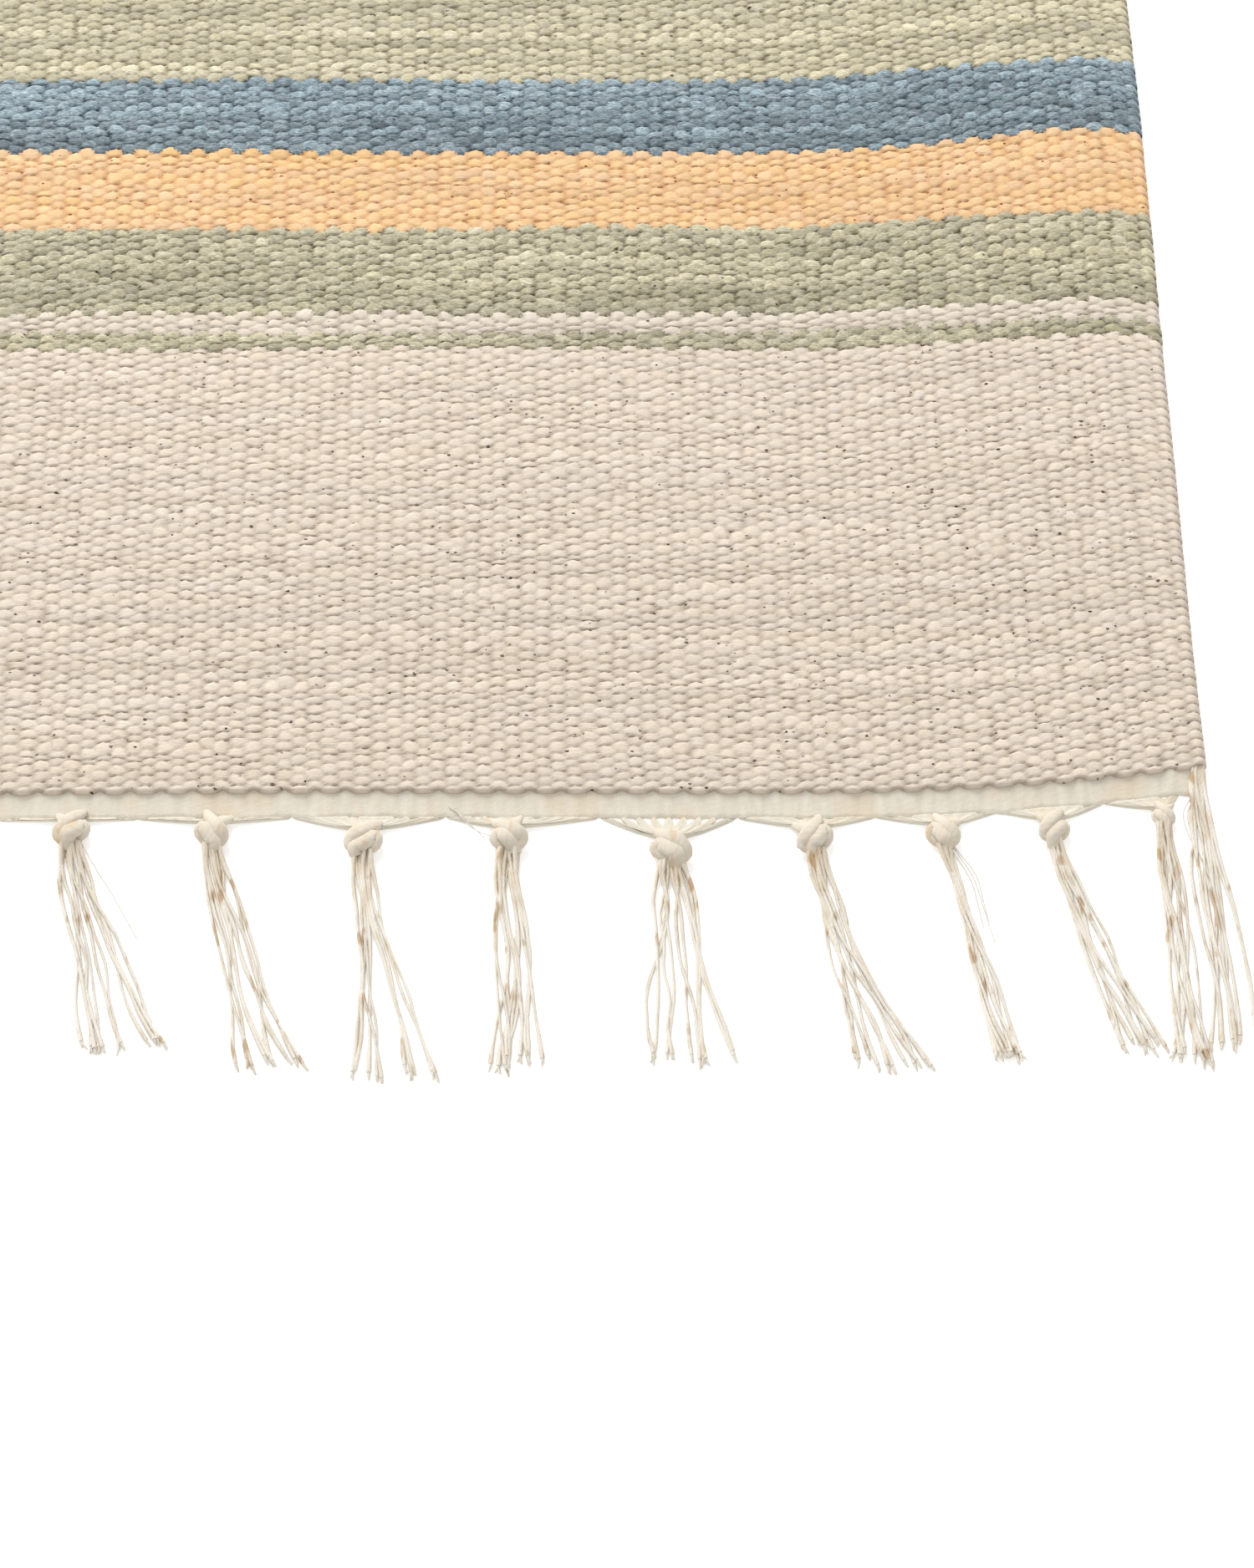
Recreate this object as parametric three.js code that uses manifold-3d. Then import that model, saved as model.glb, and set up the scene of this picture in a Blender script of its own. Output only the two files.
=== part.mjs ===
// A flat-woven cotton rug, striped across, with knotted tassels at both ends.
// Units are millimetres, +Z is up, and the rug lies flat with its underside at z = 0.
// The origin is under the middle of the rug, its length runs along Y, and the
// near end is the one at -Y.

import * as THREE from "three";
import { mergeVertices } from "three/addons/utils/BufferGeometryUtils.js";
import Module from "manifold-3d";

// Driving sizes of the woven cloth
const CLOTH_WIDTH = 600;
const CLOTH_LENGTH = 900;
const CLOTH_THICKNESS = 3.5;
const SELVEDGE_THICKNESS = 2.3;
const SELVEDGE_GROOVE = { inFromEdge: 10, depth: 0.45, halfWidth: 2.6 };
const EDGE_ROUNDING = 3.5;

// The end edges bow in towards each corner, and the selvedges wander a little
const END_BOW = { right: 7.2, left: 5.4, reach: 115, power: 2.3, fadesOver: 300 };
const SIDE_WANDER = { amount: 0.45, longWave: 310, longShare: 0.7, shortWave: 118 };
const END_WANDER = { amount: 0.3, wave: 260 };

// The fringe: a bare strip of warps along the edge, gathered into knots, with the
// warps' free ends below each knot. Strip and strands lie level on the floor.
const PARTING = 0.3;
const STRIP = { width: 6.8, insetAtCorner: 0.6 };
const WEB = { neckWidth: 5.5, flare: 6 };
const KNOT = { length: 9.2, height: 6.4, lift: 0.2, waist: 1.3, sides: 8, rings: 5 };
const KNOT_LUMPS = { size: 0.1, slant: 1.2 };
const STRAND = { width: 1.2, thickness: 1.4, steps: 3, rootPitch: 1.5, startsPastKnot: 4.3 };
const UNEVEN_ENDS = { shortest: 4, step: 2.4 };
const ARC_POINTS = 4;

// One row for each tassel of the near end, counted from the right selvedge.
// knotIn is how far its knot is from the right selvedge; knotOut and reach are
// how far its knot and its longest tip lie beyond the line of the cloth's end.
// tipLeft and tipRight place the outermost tips along X, from the knot, and
// bend is 1 for straight strands and more for strands that curve over late.
// A row with no knotWidth is the loose bundle at a corner.
const TASSEL_COLUMNS = [
  "knotIn",
  "knotOut",
  "knotWidth",
  "strands",
  "tipLeft",
  "tipRight",
  "reach",
  "bend",
];
const TASSEL_ROWS = [
  [2.9, -0.8, 0, 3, 3.2, 7.4, 73.8, 1.1],
  [13.4, 6.6, 9.5, 5, -3.6, 9.3, 78.1, 1.2],
  [41.8, 10.8, 10.5, 6, 13.2, 22.6, 75.1, 1.6],
  [70.7, 11.9, 10.5, 5, 10.3, 18.3, 78.6, 1.2],
  [104.2, 13.1, 11.5, 6, 8.1, 27.7, 79.2, 1.3],
  [141.6, 15.8, 13.0, 6, -7.3, 14.3, 78.7, 1.1],
  [183.7, 12.8, 11.5, 5, -1.8, 8.4, 79.5, 1.2],
  [221.3, 13.4, 11.5, 6, -1.0, 19.3, 81.8, 1.3],
  [260.3, 11.3, 11.0, 6, 9.0, 25.6, 78.0, 1.2],
  [296.7, 10.4, 11.5, 6, 5.6, 27.7, 73.4, 1.2],
  [335.5, 12.4, 11.5, 6, 3.5, 20.5, 79.0, 1.3],
  [374.0, 13.0, 12.0, 5, -4.0, 11.5, 80.2, 1.2],
  [411.5, 11.8, 11.0, 6, -2.5, 17.0, 77.4, 1.4],
  [449.0, 12.9, 11.5, 5, -8.0, 6.5, 79.6, 1.2],
  [486.0, 12.2, 11.5, 6, -13.0, 6.0, 76.8, 1.3],
  [521.5, 12.0, 11.0, 5, -9.5, 5.5, 78.4, 1.2],
  [555.0, 11.2, 10.5, 5, -10.5, 1.5, 77.0, 1.2],
  [585.5, 7.6, 9.5, 5, -8.6, 2.4, 76.2, 1.2],
  [597.1, 0.8, 0, 3, -7.4, -3.2, 72.0, 1.1],
];
const TASSELS = TASSEL_ROWS.map((row) =>
  Object.fromEntries(TASSEL_COLUMNS.map((column, i) => [column, row[i]])),
);

// Finishes
const FINISH = {
  cloth: new THREE.MeshStandardMaterial({ color: 0xddd0bd, roughness: 0.95, metalness: 0 }),
  nearFringe: new THREE.MeshStandardMaterial({ color: 0xe8ddcb, roughness: 0.9, metalness: 0 }),
  farFringe: new THREE.MeshStandardMaterial({ color: 0xe8ddcb, roughness: 0.9, metalness: 0 }),
};

const HALF_WIDTH = CLOTH_WIDTH / 2;
const HALF_LENGTH = CLOTH_LENGTH / 2;

// Where the cloth ends

// How far the end edge is drawn in at a place across the rug
function endBow(x) {
  const side = x > 0 ? END_BOW.right : END_BOW.left;
  const nearness = Math.max(0, 1 - (HALF_WIDTH - Math.abs(x)) / END_BOW.reach);
  const wander = END_WANDER.amount * Math.sin((2 * Math.PI * x) / END_WANDER.wave);
  return side * nearness ** END_BOW.power + wander;
}

// How far a selvedge stands out at a place along the rug
function sideWander(y) {
  const long = Math.sin((2 * Math.PI * y) / SIDE_WANDER.longWave);
  const short = Math.cos((2 * Math.PI * y) / SIDE_WANDER.shortWave);
  const share = SIDE_WANDER.longShare;
  return SIDE_WANDER.amount * (share * long + (1 - share) * short);
}

// Woven cloth: one flat sheet with rounded edges and a groove inside each selvedge

// Places of the grid lines, closer together at the edges, as distances in
const FROM_SELVEDGE = [0, 1.1, 3.5, 7.4, 10, 12.6, 28, 52, 82, 115, 200];
const FROM_END = [0, 1.1, 3.5, 20, 70, 130, 190, 250, 310, 370, 430];

// The whole row of grid lines from one edge to the other
function gridLines(distances, half) {
  const low = distances.map((d) => d - half);
  const high = distances.map((d) => half - d).reverse();
  return [...low, ...high];
}

// The cloth's height, which falls off over the last few millimetres of each edge
function clothHeight(inFromSelvedge, inFromEnd) {
  const inside = Math.min(inFromSelvedge, inFromEnd, EDGE_ROUNDING);
  const round = Math.sqrt(1 - (1 - inside / EDGE_ROUNDING) ** 2);
  const offGroove = (inFromSelvedge - SELVEDGE_GROOVE.inFromEdge) / SELVEDGE_GROOVE.halfWidth;
  const groove = SELVEDGE_GROOVE.depth * Math.max(0, 1 - Math.abs(offGroove));
  return SELVEDGE_THICKNESS + (CLOTH_THICKNESS - SELVEDGE_THICKNESS) * round - groove;
}

function makeCloth() {
  const across = gridLines(FROM_SELVEDGE, HALF_WIDTH);
  const along = gridLines(FROM_END, HALF_LENGTH);
  const geometry = new THREE.BoxGeometry(
    across.length - 1,
    along.length - 1,
    1,
    across.length - 1,
    along.length - 1,
    1,
  );
  const place = geometry.attributes.position;
  for (let i = 0; i < place.count; i += 1) {
    const column = Math.round(place.getX(i) + (across.length - 1) / 2);
    const row = Math.round(place.getY(i) + (along.length - 1) / 2);
    const x = across[column];
    const y = along[row];
    const inFromSelvedge = HALF_WIDTH - Math.abs(x);
    const inFromEnd = HALF_LENGTH - Math.abs(y);
    const fade = Math.max(0, 1 - inFromEnd / END_BOW.fadesOver);
    const stretch = 1 + sideWander(y) / HALF_WIDTH;
    const drawnIn = endBow(Math.sign(y) < 0 ? x : -x) * fade;
    const top = place.getZ(i) > 0;
    place.setXYZ(
      i,
      x * stretch,
      y - Math.sign(y) * drawnIn,
      top ? clothHeight(inFromSelvedge, inFromEnd) : 0,
    );
  }
  return geometry;
}

// Fringe, worked out at the near end, where outwards is -Y

// A point at a place across the rug, some way beyond the line of the cloth's end
function beyondEnd(x, out) {
  return new THREE.Vector2(x, -HALF_LENGTH - out);
}

// The strip's border with the cloth, and its free border
function innerEdge(x) {
  return beyondEnd(x, PARTING - endBow(x));
}

function outerEdge(x) {
  return beyondEnd(x, PARTING - endBow(x) + STRIP.width);
}

// The outline of one tassel's strands, from its right side to its left. Each
// strand's middle line leaves the knot straight out and drifts over to its tip.
function strandOutline(tassel) {
  const points = [];
  const knotX = HALF_WIDTH - tassel.knotIn;
  const rootOut = tassel.knotOut + STRAND.startsPastKnot;
  for (let order = 0; order < tassel.strands; order += 1) {
    const share = 1 - order / (tassel.strands - 1);
    const rootX = knotX + (share - 0.5) * (tassel.strands - 1) * STRAND.rootPitch;
    const tipX = knotX + tassel.tipLeft + share * (tassel.tipRight - tassel.tipLeft);
    const uneven = 0.5 + 0.5 * Math.sin(order * UNEVEN_ENDS.step + tassel.knotIn);
    const shorter = order === 1 ? 0 : UNEVEN_ENDS.shortest * uneven;
    const tipOut = tassel.reach - shorter;
    const side = (direction, step) => {
      const t = step / STRAND.steps;
      const x = rootX + (tipX - rootX) * t ** tassel.bend;
      return beyondEnd(x + (direction * STRAND.width) / 2, rootOut + (tipOut - rootOut) * t);
    };
    for (let step = 0; step <= STRAND.steps; step += 1) {
      points.push(side(1, step));
    }
    for (let step = STRAND.steps; step >= 0; step -= 1) {
      points.push(side(-1, step));
    }
  }
  return points;
}

// Bare strip of warps along the edge, a web gathered into each knot, and the
// strands beyond it, as one level sheet cut to this outline
function makeStripAndStrands() {
  const cornerX = HALF_WIDTH - STRIP.insetAtCorner;
  const across = gridLines(FROM_SELVEDGE, HALF_WIDTH);
  const inner = across.map((x) => innerEdge(THREE.MathUtils.clamp(x, -cornerX, cornerX)));
  const outline = new THREE.Shape();
  outline.setFromPoints(inner);
  TASSELS.forEach((tassel, index) => {
    const x = HALF_WIDTH - tassel.knotIn;
    const knotted = tassel.knotWidth > 0;
    const before = TASSELS[index - 1];
    if (knotted) {
      const middle = outerEdge((x + HALF_WIDTH - before.knotIn) / 2);
      const bend = outerEdge(x + WEB.flare);
      const neck = beyondEnd(x + WEB.neckWidth / 2, tassel.knotOut);
      outline.lineTo(middle.x, middle.y);
      outline.quadraticCurveTo(bend.x, bend.y, neck.x, neck.y);
    }
    for (const point of strandOutline(tassel)) {
      outline.lineTo(point.x, point.y);
    }
    if (knotted) {
      const after = TASSELS[index + 1];
      const middle = outerEdge((x + HALF_WIDTH - after.knotIn) / 2);
      const bend = outerEdge(x - WEB.flare);
      const neck = beyondEnd(x - WEB.neckWidth / 2, tassel.knotOut);
      outline.lineTo(neck.x, neck.y);
      outline.quadraticCurveTo(bend.x, bend.y, middle.x, middle.y);
    }
  });
  return new THREE.ExtrudeGeometry(outline, {
    depth: STRAND.thickness,
    bevelEnabled: false,
    curveSegments: ARC_POINTS,
  });
}

// Overhand knot: a ball flattened underneath, widest where the strands leave it,
// with two slanting lumps where the yarns cross
function makeKnot(tassel) {
  const geometry = new THREE.SphereGeometry(1, KNOT.sides, KNOT.rings);
  geometry.rotateX(Math.PI / 2);
  const place = geometry.attributes.position;
  const small = Math.min(1, tassel.knotWidth / KNOT.length);
  const knotX = HALF_WIDTH - tassel.knotIn;
  const knotY = -HALF_LENGTH - tassel.knotOut;
  for (let i = 0; i < place.count; i += 1) {
    const x = place.getX(i);
    const y = place.getY(i);
    const z = place.getZ(i);
    const round = Math.hypot(x, y);
    const turn = Math.atan2(y, x);
    const lump = 1 + KNOT_LUMPS.size * round * Math.cos(2 * turn + KNOT_LUMPS.slant * z);
    const above = KNOT.height * small - KNOT.waist;
    const below = KNOT.waist - KNOT.lift;
    place.setXYZ(
      i,
      knotX + (x * lump * tassel.knotWidth) / 2,
      knotY + (y * lump * KNOT.length * small) / 2,
      KNOT.waist + z * (z > 0 ? above : below),
    );
  }
  return geometry;
}

// Joining the pieces of one fringe into a single body

const SAME_POINT_WITHIN = 1e-4;
const wasm = await Module();
wasm.setup();

function toSolid(geometry) {
  const bare = geometry.clone();
  bare.deleteAttribute("normal");
  bare.deleteAttribute("uv");
  const merged = mergeVertices(bare, SAME_POINT_WITHIN);
  const mesh = new wasm.Mesh({
    numProp: 3,
    vertProperties: Float32Array.from(merged.attributes.position.array),
    triVerts: Uint32Array.from(merged.index.array),
  });
  return new wasm.Manifold(mesh);
}

function toGeometry(solid) {
  const mesh = solid.getMesh();
  const geometry = new THREE.BufferGeometry();
  const places = new THREE.BufferAttribute(mesh.vertProperties, mesh.numProp);
  geometry.setAttribute("position", places);
  geometry.setIndex(new THREE.BufferAttribute(mesh.triVerts, 1));
  geometry.computeVertexNormals();
  return geometry;
}

function makeFringe() {
  let fringe = toSolid(makeStripAndStrands());
  for (const tassel of TASSELS) {
    if (tassel.knotWidth > 0) {
      fringe = fringe.add(toSolid(makeKnot(tassel)));
    }
  }
  return toGeometry(fringe);
}

// The rug

const rug = new THREE.Group();
rug.name = "rug";

const cloth = new THREE.Mesh(makeCloth(), FINISH.cloth);
cloth.name = "cloth";
rug.add(cloth);

const nearFringe = new THREE.Mesh(makeFringe(), FINISH.nearFringe);
nearFringe.name = "fringe_near";
rug.add(nearFringe);

const farFringe = new THREE.Mesh(makeFringe(), FINISH.farFringe);
farFringe.name = "fringe_far";
farFringe.rotation.z = Math.PI;
rug.add(farFringe);

export default rug;
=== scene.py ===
"""Kilim rug: the looks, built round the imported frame.

A small flat-woven cotton rug lies flat on a pale floor: weft-faced cloth striped across, and at both ends
its own warps, left bare and gathered into overhand knots. Lengths are in millimetres until a mesh is made.
X runs across the rug, Y along its warps and Z up. The near end is at -Y, and the photograph looks down on
the corner at +X, -Y.
"""

import math
from collections import namedtuple

import bpy
import numpy as np
from mathutils import Matrix, Vector


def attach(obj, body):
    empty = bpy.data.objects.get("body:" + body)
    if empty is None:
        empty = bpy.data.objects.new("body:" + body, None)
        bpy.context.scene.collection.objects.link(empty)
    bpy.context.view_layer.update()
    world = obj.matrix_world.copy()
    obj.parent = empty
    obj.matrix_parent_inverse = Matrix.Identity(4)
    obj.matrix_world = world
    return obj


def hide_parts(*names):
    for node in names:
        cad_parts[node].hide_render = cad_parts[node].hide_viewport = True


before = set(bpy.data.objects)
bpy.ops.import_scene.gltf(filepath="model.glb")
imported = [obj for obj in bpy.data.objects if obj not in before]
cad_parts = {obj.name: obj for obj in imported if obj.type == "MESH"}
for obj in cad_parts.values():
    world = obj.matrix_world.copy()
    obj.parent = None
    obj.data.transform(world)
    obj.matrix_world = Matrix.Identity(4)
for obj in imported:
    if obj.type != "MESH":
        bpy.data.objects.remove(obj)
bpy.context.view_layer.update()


# Camera. It looks steeply down on one corner of the rug from about a metre away, through a slightly long
# lens and with a slight roll. Its place was fitted to the selvedge, the slopes of the warps and the rows.

MM = 0.001
LONG_SIDE_PIXELS = 1876
FOCAL_PIXELS = 4470
NEAREST_SEEN = 50.0
SENSOR_LONG_SIDE = 36.0
CAMERA_PLACE = Vector((125.884, -935.544, 847.168))
CAMERA_YAW = math.radians(2.50458)
CAMERA_DOWN = math.radians(59.93725)
CAMERA_ROLL = math.radians(2.01767)

level_ahead = Vector((math.sin(CAMERA_YAW), math.cos(CAMERA_YAW), 0.0))
ahead = math.cos(CAMERA_DOWN) * level_ahead - math.sin(CAMERA_DOWN) * Vector((0.0, 0.0, 1.0))
level_right = Vector((math.cos(CAMERA_YAW), -math.sin(CAMERA_YAW), 0.0))
level_up = level_right.cross(ahead)
right = math.cos(CAMERA_ROLL) * level_right + math.sin(CAMERA_ROLL) * level_up
up = math.cos(CAMERA_ROLL) * level_up - math.sin(CAMERA_ROLL) * level_right
camera_data = bpy.data.cameras.new("camera")
camera_data.sensor_width = SENSOR_LONG_SIDE
camera_data.lens = SENSOR_LONG_SIDE * FOCAL_PIXELS / LONG_SIDE_PIXELS
camera_data.clip_start = NEAREST_SEEN * MM
camera = bpy.data.objects.new("camera", camera_data)
turned = Matrix((right, up, -ahead)).transposed().to_4x4()
camera.matrix_world = Matrix.Translation(CAMERA_PLACE * MM) @ turned
bpy.context.collection.objects.link(camera)
bpy.context.scene.camera = camera


# Lattice of the weave. Stiff warps lie along the rug 4 mm apart, and one soft weft after another goes over
# one warp and under the next, beaten down so hard that the warps are hidden. A place in the weave is given
# by its warp, counted from the left selvedge, and its pick, which is one row of weft, from the near end.

CLOTH_WIDTH = 600.0
CLOTH_LENGTH = 900.0
HALF_WIDTH = CLOTH_WIDTH / 2
HALF_LENGTH = CLOTH_LENGTH / 2
WARPS = 150
WARP_PITCH = CLOTH_WIDTH / WARPS

# Stripes from the near end to the middle: name, width along the rug, picks and yarn. The other half repeats
# them in the opposite order.
STRIPES = [
    ("plain end", 143.6, 99, "natural"),
    ("thin line", 5.7, 4, "sage"),
    ("white line", 6.1, 5, "cream"),
    ("sage stripe", 30.7, 20, "sage"),
    ("orange stripe", 27.6, 18, "orange"),
    ("blue stripe", 26.9, 18, "blue"),
    ("half the field", 209.4, 140, "pale sage"),
]
# How plump each yarn's floats stand, against their mean.
PLUMPNESS = {"natural": 0.8, "cream": 0.85, "sage": 1.15, "pale sage": 0.95, "orange": 0.8, "blue": 1.1}
YARNS = list(PLUMPNESS)
near_and_far = STRIPES + STRIPES[::-1]
_, stripe_widths, picks_in_stripe, stripe_yarns = zip(*near_and_far)
PICKS = sum(picks_in_stripe)
PICK_LENGTH = CLOTH_LENGTH / PICKS
stripe_picks = np.concatenate([[0], np.cumsum(picks_in_stripe)])
stripe_places = np.concatenate([[0], np.cumsum(stripe_widths)]) - HALF_LENGTH
yarn_of_pick = np.repeat([YARNS.index(yarn) for yarn in stripe_yarns], picks_in_stripe)


def smooth_step(t):
    """Rises from 0 at t = 0 to 1 at t = 1 as 3t^2 - 2t^3, and is level outside."""
    t = np.clip(t, 0.0, 1.0)
    return t * t * (3 - 2 * t)


def unevenness(seed, over_warps, over_picks):
    """A number for each warp and pick, of spread 1: random numbers blurred by a bell curve both ways."""
    values = np.random.default_rng(seed).normal(size=(WARPS, PICKS))
    for axis, reach in ((0, over_warps), (1, over_picks)):
        waves = np.fft.rfft(values, axis=axis)
        frequency = np.fft.rfftfreq(values.shape[axis])
        bell = np.exp(-2 * (np.pi * reach * frequency) ** 2)
        waves = waves * (bell[:, None] if axis == 0 else bell)
        values = np.fft.irfft(waves, n=values.shape[axis], axis=axis)
    return values / values.std()


def between(values, warp, pick):
    """The value at a place of the weave, mixed straight from the four nearest warps and picks."""
    across = np.clip(warp - 0.5, 0, WARPS - 1.001)
    along = np.clip(pick - 0.5, 0, PICKS - 1.001)
    i = across.astype(int)
    j = along.astype(int)
    a = across - i
    b = along - j
    near = values[i, j] * (1 - a) + values[i + 1, j] * a
    far = values[i, j + 1] * (1 - a) + values[i + 1, j + 1] * a
    return near * (1 - b) + far * b


# The end edges are drawn in towards each corner, and the rows of weft rise with them, most of all at the
# stripes, because the selvedge was pulled tight as it was woven.
END_BOW = {"right": 7.2, "left": 5.4, "reach": 115.0, "power": 2.3}
END_WANDER = {"amount": 0.3, "wave": 260.0}
ROW_BOW_REACH = 105.0
ROW_BOW_STARTS = 10.0
ROW_BOW_PLACES = [0, 145, 186, 214, 240, 300, 380, 450]
ROW_BOW_AMOUNTS = [4.0, 5.4, 6.6, 9.0, 9.0, 7.4, 3.6, 0.0]
LEFT_ROW_BOW = 0.75
BLENDS_OVER = 80.0
EDGE_DROP = {"amount": 2.5, "reach": 15.0, "fades_from": 300.0, "fades_over": 150.0}
SIDE_WANDER = {"amount": 0.45, "long_wave": 310.0, "long_share": 0.7, "short_wave": 118.0}
ROW_WAVES = 0.30
COLUMN_WAVES = 0.34


def end_bow(x):
    """How far the near end's edge is drawn in: a power of the nearness to a corner, and a slow wave."""
    side = np.where(x > 0, END_BOW["right"], END_BOW["left"])
    nearness = np.clip(1 - (HALF_WIDTH - np.abs(x)) / END_BOW["reach"], 0, None)
    wander = END_WANDER["amount"] * np.sin(2 * np.pi * x / END_WANDER["wave"])
    return side * nearness ** END_BOW["power"] + wander


def half_row_rise(x, from_end):
    """Rise of the rows in the near half: the end's own bow at the edge, turning into a rounder bow that
    grows towards the stripes, dies out at the middle, and drops back at the selvedge itself."""
    from_selvedge = HALF_WIDTH - np.abs(x)
    side = np.where(x > 0, 1.0, LEFT_ROW_BOW)
    rounder = smooth_step((ROW_BOW_REACH + ROW_BOW_STARTS - from_selvedge) / ROW_BOW_REACH)
    drop = EDGE_DROP["amount"] * np.clip(1 - from_selvedge / EDGE_DROP["reach"], 0, None) ** 2
    amount = np.interp(from_end, ROW_BOW_PLACES, ROW_BOW_AMOUNTS)
    fade = 1 - smooth_step((from_end - EDGE_DROP["fades_from"]) / EDGE_DROP["fades_over"])
    inner = side * (rounder * amount - drop * fade)
    share = np.clip(from_end / BLENDS_OVER, 0, 1)
    return end_bow(x) * (1 - share) + inner * share


def row_rise(x, y):
    """Rise of the rows anywhere: the far half is the near half turned half a turn."""
    near = half_row_rise(x, HALF_LENGTH + y)
    far = -half_row_rise(-x, HALF_LENGTH - y)
    return np.where(y < 0, near, far)


def side_wander(y):
    """How far a selvedge stands out: a long wave and a short one."""
    long = np.sin(2 * np.pi * y / SIDE_WANDER["long_wave"])
    short = np.cos(2 * np.pi * y / SIDE_WANDER["short_wave"])
    share = SIDE_WANDER["long_share"]
    return SIDE_WANDER["amount"] * (share * long + (1 - share) * short)


row_waves = unevenness(11, 4.0, 3.0) + 0.8 * unevenness(12, 11.0, 1.2)
column_waves = unevenness(13, 1.1, 26.0) + 0.6 * unevenness(14, 3.0, 7.0)


# Woven cloth. One weft-faced plain weave in soft single cotton yarn: every float over a warp stands up as a
# plump grain, in a brick pattern. The stripes are changes of weft, and the selvedges are its own turns.

CLOTH_TOP = 3.5
FLOAT_CROWN = 0.76
FLOAT_HALF_WIDTH = 1.02
FLOAT_FULLNESS = 2.6
FLOAT_TAPER = 1.35
FLOAT_DIVE = 0.86
ROW_SHIFT = 0.19
THICK_AND_THIN = 0.12
MOST_SHIFT = 0.45
COLUMN_SHIFT = 0.42
CROWN_OF_STRETCH = 0.5
CROWN_SPREAD = 0.07
FLOAT_LEAN = 0.14
TIP_TILT = 0.24
DEEPEST = -0.5
EDGE_HEIGHT = 0.9
SELVEDGE_ROUNDING = 2.2
END_ROUNDING = 1.3
SELVEDGE_GROOVES = [(10.0, 0.5, 1.7), (4.6, 0.2, 1.1)]
SELVEDGE_SCALLOP = 0.7
END_SCALLOP = 1.1
STRAIGHT_AT_SELVEDGE = 12.0
STRAIGHT_AT_END = 8.0
END_SHADE = 0.55

own = [unevenness(22 + n, 0.01, 0.01) for n in range(5)]
row_shift = ROW_SHIFT * own[0] + THICK_AND_THIN * unevenness(21, 2.6, 0.25)
row_shift = np.clip(row_shift, -MOST_SHIFT, MOST_SHIFT)
stretch = (np.roll(row_shift, -1, axis=1) - np.roll(row_shift, 1, axis=1)) / 2
crown = FLOAT_CROWN * (1 + CROWN_OF_STRETCH * stretch + CROWN_SPREAD * own[2])
plumpness = np.array(list(PLUMPNESS.values()))[yarn_of_pick]
column_shift = COLUMN_SHIFT * own[1]
lean = FLOAT_LEAN * own[3]
tilt = TIP_TILT * own[4]

# Gentle ridges and hollows across the rug, where the weft was beaten harder or changed: place from the
# near end, and height.
SWELL_PLACES = [0, 60, 125, 139, 144, 149, 155, 163, 172, 180, 196, 230, 262, 450]
SWELL_HEIGHTS = [0, 0.07, 0, 0.175, -0.245, -0.385, 0.245, -0.07, -0.315, 0.21, 0, 0.105, 0, 0]


def taper(along):
    """Share of its width that a float keeps at a distance from its middle: 1 less a share of the square."""
    return np.clip(1 - FLOAT_TAPER * along**2, 0.05, None)


def highest_float(warp, pick):
    """Height of the weft at places of the weave, with the warp and pick of the float that shows there.
    Each float is a full half-oval across the yarn that tapers and dives as a cosine along it, to the sides
    of its warp, and the cloth's face is the highest of the floats within reach."""
    height = np.full(warp.shape, DEEPEST)
    over_warp = np.clip(np.floor(warp), 0, WARPS - 1).astype(int)
    over_pick = np.clip(np.floor(pick), 0, PICKS - 1).astype(int)
    for warp_step in (-1, 0, 1):
        for pick_step in (-1, 0, 1):
            i = np.floor(warp).astype(int) + warp_step
            j = np.floor(pick).astype(int) + pick_step
            is_float = (i >= 0) & (i < WARPS) & (j >= 0) & (j < PICKS) & ((i + j) % 2 == 0)
            i = np.clip(i, 0, WARPS - 1)
            j = np.clip(j, 0, PICKS - 1)
            along = warp - (i + 0.5)
            across = pick - (j + 0.5 + lean[i, j] * along)
            across = np.abs(across / (FLOAT_HALF_WIDTH * taper(along)))
            full = np.clip(1 - across**FLOAT_FULLNESS, 0, None) ** (1 / FLOAT_FULLNESS)
            dive = FLOAT_DIVE * (1 - np.cos(np.pi * np.clip(along, -1, 1))) / 2
            over = plumpness[j] * (crown[i, j] * full - dive + tilt[i, j] * along)
            candidate = np.where(is_float & (across < 1), over, DEEPEST)
            higher = candidate > height
            height = np.where(higher, candidate, height)
            over_warp = np.where(higher, i, over_warp)
            over_pick = np.where(higher, j, over_pick)
    return height, over_warp, over_pick


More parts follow.
